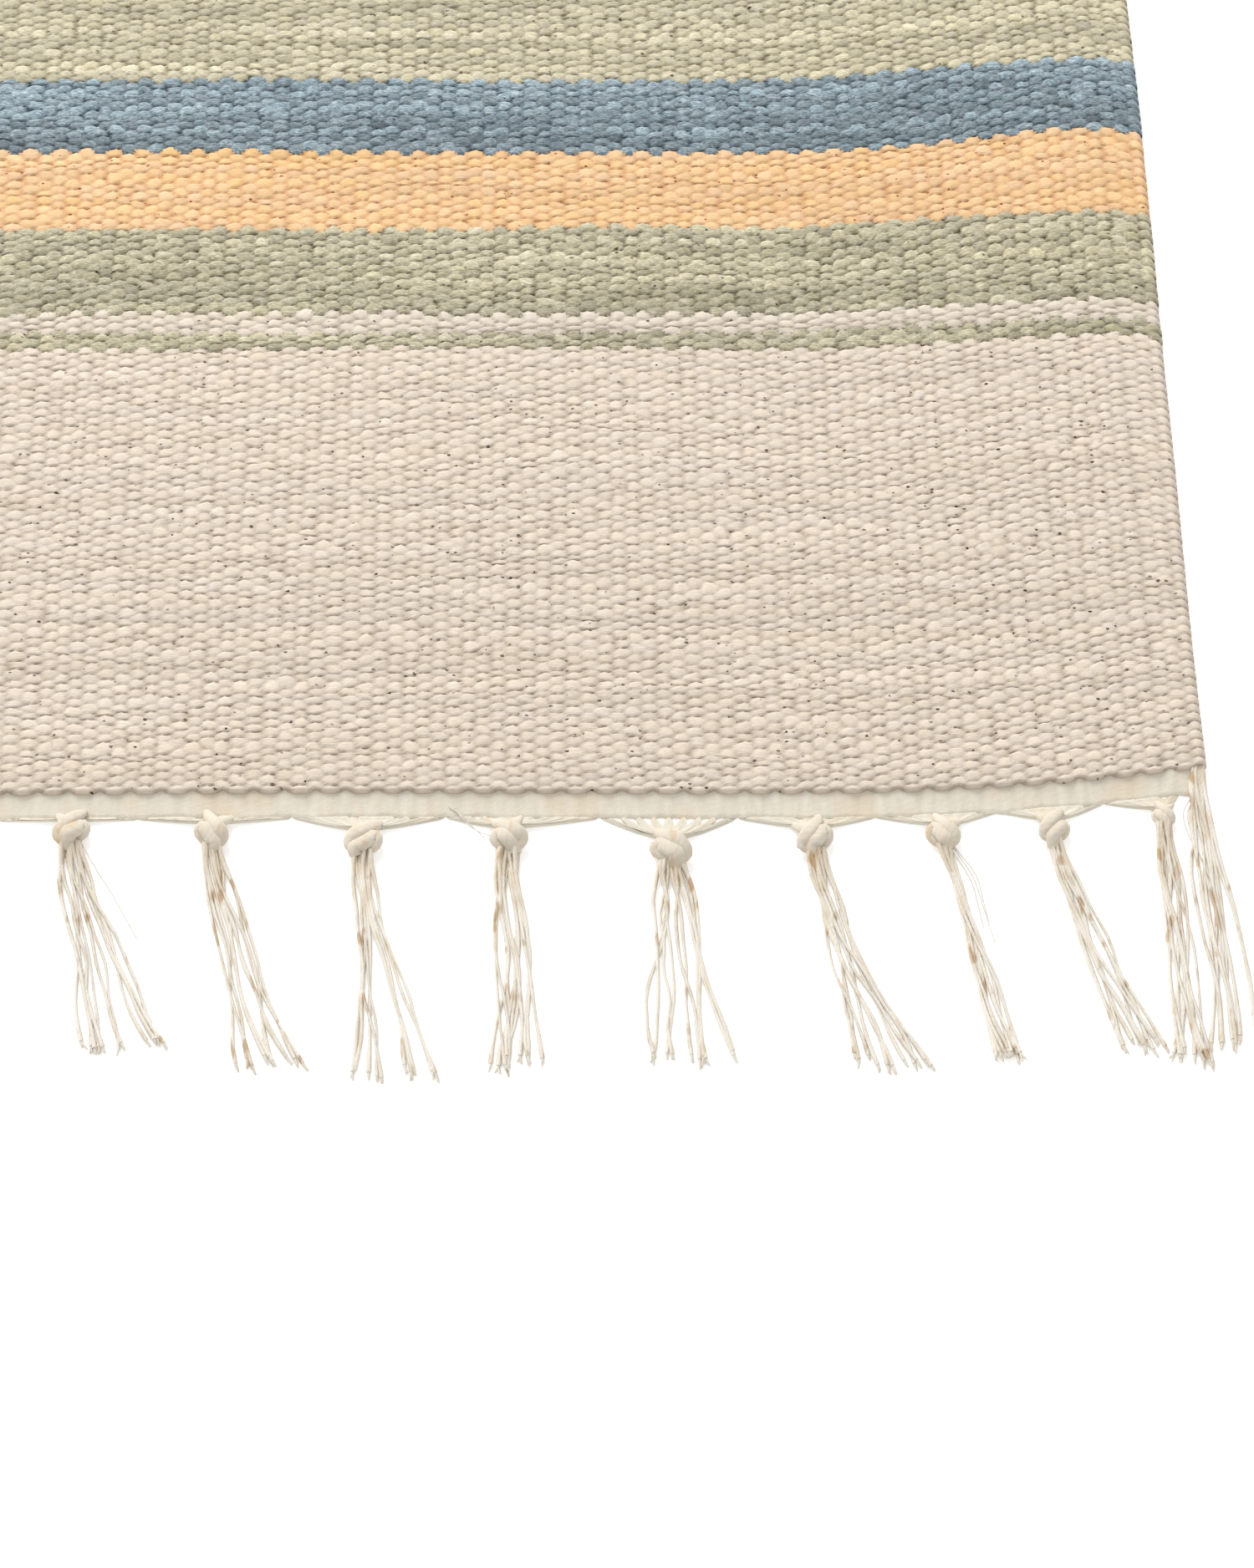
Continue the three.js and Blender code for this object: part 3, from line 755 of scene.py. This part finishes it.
def tubes(paths, radii, sides, tones, tan_amount=0.4, flatness=1.0, flutes=None):
    """Yarns as closed tubes: rings of points square to each path, with the turn round it and the path's
    own length as uv, and a flat face at each end. handled, for every path and step, is how tanned the yarn
    is, flatness is the tubes' height over their width, and flutes, if given, is the share of the radius at
    each point of a ring, for every step. The normals are the cross product of the slopes along and around.
    Returns what make_piece needs."""
    count, steps = paths.shape[:2]
    radii = np.broadcast_to(radii, (count, steps))
    forward = unit(np.gradient(paths, axis=1))
    aside_of_path = unit(np.cross(forward, [0.0, 0.0, 1.0]))
    over_path = flatness * np.cross(aside_of_path, forward)
    turn = 2 * np.pi * np.arange(sides)[:, None] / sides
    ring = np.cos(turn) * aside_of_path[:, :, None] + np.sin(turn) * over_path[:, :, None]
    if flutes is not None:
        ring = ring * flutes[..., None]
    points = paths[:, :, None] + radii[:, :, None, None] * ring
    points[..., 2] = np.maximum(points[..., 2], OFF_THE_FLOOR)
    around = np.roll(points, -1, axis=2) - np.roll(points, 1, axis=2)
    normals = unit(np.cross(np.gradient(points, axis=1), around))
    end_normals = np.repeat(np.concatenate([-forward[:, 0], forward[:, -1]]), sides, axis=0)
    index = np.arange(count * steps * sides).reshape(count, steps, sides)
    quads = round_faces(np.concatenate([index, index[..., :1]], axis=2)).ravel()
    ends = np.concatenate([index[:, 0], index[:, -1, ::-1]])

    step_length = np.linalg.norm(np.diff(paths, axis=1), axis=-1)
    length = np.cumsum(np.pad(step_length, ((0, 0), (1, 0))), axis=1)
    length = length + BETWEEN_YARNS * np.arange(count)[:, None]
    share_round = np.arange(sides + 1) / sides
    places = np.broadcast_arrays(share_round, length[..., None])
    uv = np.stack([round_faces(place) for place in places], axis=-1).reshape(-1, 2)
    tan_amount = np.broadcast_to(tan_amount, (count, steps))
    # Each face's amount of tan, the mean of its two rings.
    face_tan = np.repeat(((tan_amount[:, 1:] + tan_amount[:, :-1]) / 2).ravel(), sides)
    return {
        "points": points.reshape(-1, 3),
        "corners": np.concatenate([quads, ends.ravel()]),
        "sides": np.array([4] * (len(quads) // 4) + [sides] * len(ends)),
        "normals": np.concatenate([normals.reshape(-1, 3)[quads], end_normals]),
        "uv": np.concatenate([uv, np.zeros((ends.size, 2))]),
        "tone": np.concatenate([np.repeat(tones, (steps - 1) * sides), tones, tones]),
        "tan_amount": np.concatenate([face_tan, tan_amount[:, 0], tan_amount[:, -1]]),
    }


def curve_through(stations, steps):
    """A smooth curve through the stations of each path: Catmull-Rom pieces, evenly stepped."""
    before = stations[:, :1] * 2 - stations[:, 1:2]
    after = stations[:, -1:] * 2 - stations[:, -2:-1]
    padded = np.concatenate([before, stations, after], axis=1)
    where = np.linspace(0, stations.shape[1] - 1.0001, steps)
    piece = where.astype(int)
    t = (where - piece)[None, :, None]
    p0, p1, p2, p3 = (padded[:, piece + n] for n in range(4))
    squared = 2 * p0 - 5 * p1 + 4 * p2 - p3
    cubed = 3 * p1 - p0 - 3 * p2 + p3
    return 0.5 * (2 * p1 + (p2 - p0) * t + squared * t**2 + cubed * t**3)


def both_ends(name, parts, finish):
    """Joins closed shapes into one piece of the near fringe, and makes its like at the far end: the same
    turned half a turn round the middle of the rug."""
    offsets = np.cumsum([0] + [len(part["points"]) for part in parts[:-1]])
    whole = {kind: np.concatenate([part[kind] for part in parts]) for kind in parts[0]}
    whole["corners"] = np.concatenate([part["corners"] + offset for part, offset in zip(parts, offsets)])
    for end, turn in (("near", (1, 1, 1)), ("far", (-1, -1, 1))):
        turned = {"points": whole["points"] * turn, "normals": whole["normals"] * turn}
        made = make_piece(f"{name}_{end}", whole | turned, [finish])
        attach(made, "root")
        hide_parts(f"fringe_{end}")


# Heading: the strip of warps next to the cloth, faintly ribbed by them and crossed by a few fine picks, with
# an uneven outer edge. It is thickest against the cloth.
HEADING_STEPS = 11
HEADING_NEAR_CLOTH = 1.9
HEADING_AT_EDGE = 0.7
HEADING_FALL = 1.15
HEADING_RIB = 0.12
HEADING_PICK = 1.15
HEADING_PICK_RELIEF = 0.05
ROUNDED_SHARE = 0.05
ROUNDED_HEIGHT = 0.6
EDGE_WANDER = 0.25
TOP_WANDER = 0.06
EDGE_SCALLOP = 0.5
HEADING = {"Yarn": (219, 213, 198), "Shade": (210, 201, 183), "Tan": (216, 200, 177)}

heading_x = np.arange(-HALF_WIDTH + INSET_AT_CORNER, HALF_WIDTH - INSET_AT_CORNER + 0.01, WARP_PITCH / 4)
across, share = np.meshgrid(heading_x, np.linspace(1, 0, HEADING_STEPS) ** 0.8, indexing="ij")
wander_x = np.arange(-HALF_WIDTH, HALF_WIDTH + 1, 5.0)
wander = np.random.default_rng(51).normal(size=(2, len(wander_x)))
edge_wander, top_wander = (np.interp(across, wander_x, row) for row in wander)
in_warp = (across + HALF_WIDTH) / WARP_PITCH
rib = np.abs(np.cos(np.pi * (in_warp - 0.5)))
whole_width = HEADING_TUCK + HEADING_WIDTH + EDGE_WANDER * edge_wander - EDGE_SCALLOP * (1 - rib)
out = PARTING - end_bow(across) - HEADING_TUCK + share * whole_width
fine_picks = np.cos(2 * np.pi * out / HEADING_PICK + np.pi * np.floor(in_warp))
fall = np.sqrt(1 - np.clip((share - 1 + ROUNDED_SHARE) / ROUNDED_SHARE, 0, 1) ** 2)
top = HEADING_AT_EDGE + (HEADING_NEAR_CLOTH - HEADING_AT_EDGE) * (1 - share) ** HEADING_FALL
top = top + TOP_WANDER * top_wander + HEADING_RIB * rib + HEADING_PICK_RELIEF * fine_picks
heading_face = in_rug(across, out, top * (ROUNDED_HEIGHT + (1 - ROUNDED_HEIGHT) * fall))
strips = [(heading_face, np.stack([across + HALF_WIDTH, out + 20], axis=-1))]

strip, strip_in = yarn_group("heading yarn", HEADING)
on_strip = on_yarn(strip)
ribs = noise(strip, scaled(strip, on_strip, (0.42, 0.13, 1)))[0]
fuzz = noise(strip, on_strip, 1.9, 3.0)[0]
stains = noise(strip, on_strip, 0.07, 1.0)[0]
shaded = mixed(strip, spread(strip, ribs, 0.35, 0.7, 0.0, 0.9), strip_in["Yarn"], strip_in["Shade"])
close_group(
    strip,
    mixed(strip, spread(strip, stains, 0.5, 0.75, 0.0, 0.8), shaded, strip_in["Tan"]),
    spread(strip, fuzz, 0.3, 0.7, 0.96, 0.86),
    times(strip, ribs, 0.2, times(strip, fuzz, 0.12)),
)
heading_material = cotton_material("heading", strip, HEADING, sheen=0.1)


# Webs: below the heading each group of nine or ten warps closes up into a flat web that narrows to its
# knot, ridged by the warps. Where they part again just below the heading, small eyelets are left.
WEB_COLUMNS = 4
WEB_ROWS = 9
WEB_STEPS = 41
WEB_TUCK = 0.9
WEB_HEIGHT = 0.66
WEB_RIDGE = 0.34
NECK_HEIGHT = 1.9
NECK_HALF_WIDTH = 2.6
NECK_SHARE = 0.40
KNOT_LENGTH = 9.2
DRAWN_IN = 0.10
DROP = 0.17
OUTER_DROP = -0.05
EYELET_DEPTH = (0.2, 0.28)
EYELET_ROOM = 5.5

warp_x = (np.arange(WARPS) + 0.5) * WARP_PITCH - HALF_WIDTH
gathered_at = np.array([tassel.x + tassel.shift for tassel in tassels])
group_of_warp = np.argmin(np.abs(warp_x[:, None] - gathered_at[None, :]), axis=1)
random = np.random.default_rng(61)

for number, tassel in enumerate(tassels):
    if tassel.knot_width == 0:
        continue
    group_x = warp_x[group_of_warp == number]
    ends = (group_x.min() - WARP_PITCH / 2, group_x.max() + WARP_PITCH / 2 + 0.01)
    x = np.arange(*ends, WARP_PITCH / WEB_COLUMNS)
    in_warp = (x + HALF_WIDTH) / WARP_PITCH
    ridge = np.abs(np.cos(np.pi * (in_warp - 0.5)))
    small = min(1.0, tassel.knot_width / KNOT_LENGTH)
    edge_out = PARTING - end_bow(x) + HEADING_WIDTH
    neck_out = tassel.knot_out - NECK_SHARE * KNOT_LENGTH * small
    from_knot = x - tassel.x
    reach_of_side = np.where(from_knot < 0, -from_knot.min(), from_knot.max())
    nearness = np.abs(from_knot) / reach_of_side
    room = np.maximum(neck_out - edge_out, 0.8)
    drop_out = edge_out + room * (DROP + OUTER_DROP * nearness)
    halfway_out = drop_out + 0.58 * (neck_out - drop_out)
    neck_x = tassel.x + NECK_HALF_WIDTH * small * from_knot / reach_of_side
    rise = NECK_HEIGHT * small * (1 - 0.5 * nearness)
    drawn_x = x - DRAWN_IN * from_knot
    stations = [
        in_rug(x, edge_out - WEB_TUCK, 0.62 * WEB_HEIGHT),
        in_rug(x - 0.4 * DRAWN_IN * from_knot, edge_out, WEB_HEIGHT),
        in_rug(drawn_x, drop_out, WEB_HEIGHT),
        in_rug((drawn_x + neck_x) / 2, halfway_out, WEB_HEIGHT + 0.3 * rise),
        in_rug(neck_x, neck_out, WEB_HEIGHT + rise),
        in_rug(neck_x, neck_out + 2.0, WEB_HEIGHT + rise),
    ]
    paths = curve_through(np.stack(stations, axis=1), WEB_STEPS)
    is_open = random.random(WARPS + 1) < tassel.eyelets
    eyelet = is_open[np.round(in_warp).astype(int)] * np.sqrt(1 - ridge**2)
    eyelet[[0, -1]] = 0
    eyelet = eyelet * (EYELET_DEPTH[0] + EYELET_DEPTH[1] * np.minimum(1, room / EYELET_ROOM))
    along = np.linspace(1, 0, WEB_ROWS)
    along = (eyelet[:, None] + (1 - eyelet[:, None]) * along) * (WEB_STEPS - 1.001)
    column = np.arange(len(x))[:, None]
    step = along.astype(int)
    part = (along - step)[..., None]
    face = paths[column, step] * (1 - part) + paths[column, step + 1] * part
    towards_neck = along / WEB_STEPS
    outer = np.clip(np.minimum(column, len(x) - 1 - column) / WEB_COLUMNS, 0, 1)
    relief = WEB_RIDGE * ridge[:, None] * outer
    face[..., 2] += relief * np.minimum(1, 5 * towards_neck) * (1 - 0.6 * towards_neck)
    face[..., 2] *= 0.25 + 0.75 * np.sqrt(outer)
    strips.append((face, np.stack([x[:, None] + HALF_WIDTH + 0 * along, 26 + along / 3], axis=-1)))
both_ends("heading", [slab(face, up_normals(face), uv) for face, uv in strips], heading_material)


# Knots: the whole group is tied in one overhand knot. One side's gather crosses over the front, goes round
# behind and comes out over itself, and the other side's tucks in under it. A band's surface is fluted by the
# yarns in it. Its places are shares of the knot's half width, its half length outwards, and its height.
KNOT_HEIGHT = 5.4
FLUTES = 5
POINTS_PER_FLUTE = 3
FLUTE_DEPTH = 0.05
FLUTE_LAY = 2.4
BAND_FLATNESS = 0.64
BAND_WIDTH = 0.94
BAND_WANDER = 0.035
OVER_BAND = {
    "across": [-0.72, -0.42, 0.05, 0.42, 0.54, 0.30, -0.18, -0.52, -0.50, -0.24, 0.08, 0.22, 0.18],
    "out": [-1.50, -0.95, -0.48, -0.10, 0.22, 0.42, 0.36, 0.10, -0.20, -0.02, 0.32, 0.64, 1.00],
    "up": [0.04, 0.42, 0.66, 0.62, 0.44, 0.32, 0.28, 0.36, 0.50, 0.60, 0.60, 0.46, 0.30],
    "radius": [0.14, 0.34, 0.43, 0.44, 0.42, 0.42, 0.42, 0.43, 0.43, 0.45, 0.47, 0.44, 0.36],
    "steps": 34,
}
UNDER_BAND = {
    "across": [0.72, 0.42, 0.00, -0.30],
    "out": [-1.45, -0.92, -0.50, 0.00],
    "up": [0.04, 0.32, 0.42, 0.36],
    "radius": [0.14, 0.32, 0.42, 0.38],
    "steps": 9,
}

knots = []
for tassel in tassels:
    if tassel.knot_width == 0:
        continue
    small = min(1.0, tassel.knot_width / KNOT_LENGTH)
    half_knot = tassel.knot_width / 2
    scale = np.array([tassel.hand * half_knot, KNOT_LENGTH * small / 2, KNOT_HEIGHT * small])
    angle = math.radians(tassel.turn)
    for band in (OVER_BAND, UNDER_BAND):
        steps = band["steps"]
        stations = np.stack([band["across"], band["out"], band["up"]], axis=-1)
        stations = stations + random.normal(0, BAND_WANDER, stations.shape)
        side, ahead, up = (curve_through(stations[None], steps)[0] * scale).T
        across_knot = side * math.cos(angle) - ahead * math.sin(angle)
        along_knot = ahead * math.cos(angle) + side * math.sin(angle)
        path = in_rug(tassel.x + across_knot, tassel.knot_out + along_knot, up)
        where = np.linspace(0, len(stations) - 1, steps)
        radii = half_knot * BAND_WIDTH * np.interp(where, np.arange(len(stations)), band["radius"])
        points_round = FLUTES * POINTS_PER_FLUTE
        turn = 2 * np.pi * np.arange(points_round) / points_round
        lay = np.linspace(0, FLUTE_LAY, steps)[:, None]
        flutes = 1 - FLUTE_DEPTH * (1 - np.cos(FLUTES * (turn + lay)))
        own_tone = random.normal(size=1)
        shaped = {"flatness": BAND_FLATNESS, "flutes": flutes[None]}
        knots.append(tubes(path[None], radii, points_round, own_tone, **shaped))
both_ends("knots", knots, knotted_material)


# Tassels: the warps' loose ends below each knot. They leave it as one bundle, part into a few locks whose
# strands wind loosely over each other, and end in tufts, each cut end untwisted into a few fine wisps.
STRANDS_IN_TASSEL = 11
STRANDS_IN_CORNER = 10
STRAND_RADIUS = 0.44
STRAND_STEPS = 16
ROOT_SHARE = 0.28
ROOT_HEIGHTS = (1.0, 2.0)
CORNER_TUCK = 1.4
CORNER_HEIGHTS = (1.4, 0.5)
THICKER_AT_KNOT = 0.6
THICKER_AT_TIP = 0.4
LOCK_WIDTH = 0.6
LOCK_SWAY = 0.9
KINK = 0.22
UNEVEN_TIPS = (3.5, 2.5)
WISPS = 2
WISP_SHAPE = np.array([(-0.3, 1.3), (0.3, 1.2), (1.0, 0.6)])
WISP_FAN = 0.16
TUFT_SPREAD = 0.6
WISP_LENGTH = 2.4
WISP_RADIUS = 0.38

random = np.random.default_rng(71)
yarns = []
for tassel in tassels:
    is_knotted = tassel.knot_width > 0
    count = STRANDS_IN_TASSEL if is_knotted else STRANDS_IN_CORNER
    locks = tassel.locks
    lock = np.sort(random.permutation(count) % locks)
    place_of_lock = (np.arange(locks) + 0.5 + random.uniform(-0.25, 0.25, locks)) / locks
    place_of_lock = (place_of_lock - place_of_lock[0]) / (place_of_lock[-1] - place_of_lock[0])
    strands_in_lock = np.bincount(lock, minlength=locks)[lock][:, None]
    t = np.linspace(0, 1, STRAND_STEPS)[None, :]
    from_middle = tassel.bundle * (2 * (np.arange(count) + 0.5) / count - 1)[:, None]
    root_out = tassel.knot_out + ROOT_SHARE * tassel.knot_width
    if not is_knotted:
        root_out = PARTING - end_bow(tassel.x + from_middle) - CORNER_TUCK
    lock_half = LOCK_WIDTH * STRAND_RADIUS * tassel.looseness * strands_in_lock
    lock_half = lock_half * (1 + TUFT_SPREAD * t**5)
    tip_left = tassel.tip_left + lock_half[:, -1:]
    tip_right = tassel.tip_right - lock_half[:, -1:]
    tip_middle = (tip_left + tip_right) / 2
    tip_from_middle = (place_of_lock[lock][:, None] - 0.5) * (tip_right - tip_left)
    tip_out = (tassel.reach - UNEVEN_TIPS[0] * random.random(locks))[lock]
    tip_out = tip_out - UNEVEN_TIPS[1] * random.random(count)
    waves = random.uniform(0.5, 1.1, locks)[lock][:, None]
    phase = random.uniform(0, 2 * np.pi, locks)[lock][:, None]
    sway = random.normal(0, LOCK_SWAY, locks)[lock][:, None] * min(1, tassel.looseness)
    lay = random.uniform(0, 2 * np.pi, (count, 1)) + 2 * np.pi * random.uniform(0.5, 1.2, (count, 1)) * t
    x = tassel.x + tip_middle * t ** tassel.bend
    x = x + from_middle * (1 - t) ** 1.5 + tip_from_middle * t ** tassel.parting
    x = x + sway * np.sin(2 * np.pi * waves * t + phase) * np.sin(np.pi * t)
    x = x + (lock_half + 0.35) * np.sin(lay) * np.minimum(1, 5 * t)
    x = x + KINK * random.normal(size=(count, 1)) * np.sin(2 * np.pi * 3.3 * t + 2 * phase)
    out = root_out + (tip_out[:, None] - root_out) * t
    rest = STRAND_RADIUS * (1 + 0.9 * (1 + np.cos(lay)) * np.minimum(1, strands_in_lock / 3))
    lowest, taller = ROOT_HEIGHTS if is_knotted else CORNER_HEIGHTS
    z = rest + (lowest + taller * random.random((count, 1)) - rest) * np.exp(-9 * t)
    paths = in_rug(x, out, z)
    thickness = 1 + THICKER_AT_KNOT * np.exp(-7 * t) + THICKER_AT_TIP * smooth_step((t - 0.8) / 0.2)
    thickness = thickness + 0.10 * np.sin(23 * t + phase)
    radii = STRAND_RADIUS * (thickness + 0.12 * random.normal(size=(count, 1)))
    tones = random.normal(size=count)
    tanned = 1.1 * np.exp(-5 * t) + 0.2 * smooth_step((t - 0.84) / 0.12)
    tanned = tanned + 0.35 * random.random(locks)[lock][:, None]
    yarns.append(tubes(paths, radii, 4, tones, tanned))

    tips = np.repeat(paths[:, -1], WISPS, axis=0)
    way = np.repeat(unit(paths[:, -1] - paths[:, -3]), WISPS, axis=0)
    fan = random.normal(0, WISP_FAN, (count * WISPS, 1)) * np.cross(way, [0, 0, 1])
    reach = WISP_LENGTH * random.uniform(0.5, 1.2, (count * WISPS, 1))
    along = WISP_SHAPE[:, :1]
    past_tip = np.clip(along, 0, 1)
    wisps = tips[:, None] + reach[:, None] * along * (way[:, None] + fan[:, None] * past_tip)
    wisps[..., 2] = np.maximum(wisps[..., 2] - 0.2 * past_tip[:, 0], WISP_RADIUS)
    yarns.append(tubes(wisps, WISP_RADIUS * WISP_SHAPE[:, 1], 4, np.repeat(tones, WISPS), 0.1))


# Stray yarns: a few thin threads that have worked loose. Each is given by its tassel and four places on it,
# across and outwards from the knot.
STRAY_RADIUS = 0.17
STRAYS = [
    (6, (-15.5, -9.6), (-12.6, -7.5), (-9.5, -4.2), (-6.2, -1.0)),
    (6, (-14.0, -9.2), (-11.6, -5.8), (-8.8, -3.2), (-4.6, -1.4)),
    (3, (1.4, 2.0), (6.8, 11.5), (9.2, 20.5), (11.6, 30.5)),
    (3, (1.0, 2.5), (6.2, 12.5), (7.8, 19.5), (9.0, 26.5)),
    (3, (1.8, 2.0), (7.6, 11.0), (9.0, 17.0), (10.4, 24.5)),
    (1, (7.6, -5.6), (5.4, -1.0), (6.4, 5.0), (9.8, 13.0)),
    (1, (8.2, -5.4), (6.4, 0.0), (8.0, 8.0), (11.0, 19.0)),
    (9, (2.0, 2.0), (7.0, 11.0), (12.0, 19.0), (18.5, 31.0)),
    (12, (-1.5, 2.0), (-5.0, 9.0), (-8.5, 20.0), (-9.5, 34.0)),
    (15, (1.5, 2.0), (5.5, 9.0), (8.0, 19.0), (12.5, 28.0)),
]
STRAY_HEIGHTS = [1.5, 1.3, 0.7, 0.3]
STRAY_STEPS = 9
stray_knots = np.array([(tassels[row[0]].x, tassels[row[0]].knot_out) for row in STRAYS])
stray_places = np.array([row[1:] for row in STRAYS]) + stray_knots[:, None]
stray_stations = in_rug(stray_places[..., 0], stray_places[..., 1], STRAY_HEIGHTS)
stray_paths = curve_through(stray_stations, STRAY_STEPS)
stray_radii = STRAY_RADIUS * np.linspace(1.2, 0.7, STRAY_STEPS)
yarns.append(tubes(stray_paths, stray_radii, 4, random.normal(size=len(STRAYS)), 0.0))
both_ends("tassels", yarns, loose_material)


# Floor and light. A plain pale floor under soft studio light: an even white surround, and one large softbox
# beyond the far end, up and to the left, that models the grains of the weave and leaves hardly a shadow.

FLOOR_SIZE = 8000.0
FLOOR_DROP = 0.05
FLOOR_GLOW = 0.3
SURROUND_STRENGTH = 0.78
SOFTBOX_PLACE = Vector((-700.0, 1500.0, 1500.0))
SOFTBOX_SIZE = 1300.0
SOFTBOX_POWER = 62.0
SOFTBOX_AIM = Vector((80.0, -250.0, 0.0))

floor_corners = np.array([(-1, -1, 0), (1, -1, 0), (1, 1, 0), (-1, 1, 0)]) * FLOOR_SIZE / 2
floor_material = bpy.data.materials.new("pale floor")
floor_material.use_nodes = True
floor_values = {
    "Base Color": (0.9, 0.9, 0.895, 1.0),
    "Roughness": 0.9,
    "Specular IOR Level": 0.1,
    "Emission Color": (1.0, 1.0, 1.0, 1.0),
    "Emission Strength": FLOOR_GLOW,
}
for key, value in floor_values.items():
    floor_material.node_tree.nodes["Principled BSDF"].inputs[key].default_value = value
floor_shape = {"points": floor_corners - (0, 0, FLOOR_DROP), "corners": np.arange(4), "sides": np.array([4])}
floor = make_piece("floor", floor_shape, [floor_material])

world = bpy.data.worlds.new("studio")
world.use_nodes = True
surround = world.node_tree.nodes["Background"]
surround.inputs["Color"].default_value = (1.0, 1.0, 1.0, 1.0)
surround.inputs["Strength"].default_value = SURROUND_STRENGTH
bpy.context.scene.world = world

softbox_data = bpy.data.lights.new("softbox", "AREA")
softbox_data.size = SOFTBOX_SIZE * MM
softbox_data.energy = SOFTBOX_POWER
softbox = bpy.data.objects.new("softbox", softbox_data)
softbox.location = SOFTBOX_PLACE * MM
softbox.rotation_euler = (SOFTBOX_AIM - SOFTBOX_PLACE).to_track_quat("-Z", "Y").to_euler()
bpy.context.collection.objects.link(softbox)
bpy.context.scene.view_settings.view_transform = "Standard"
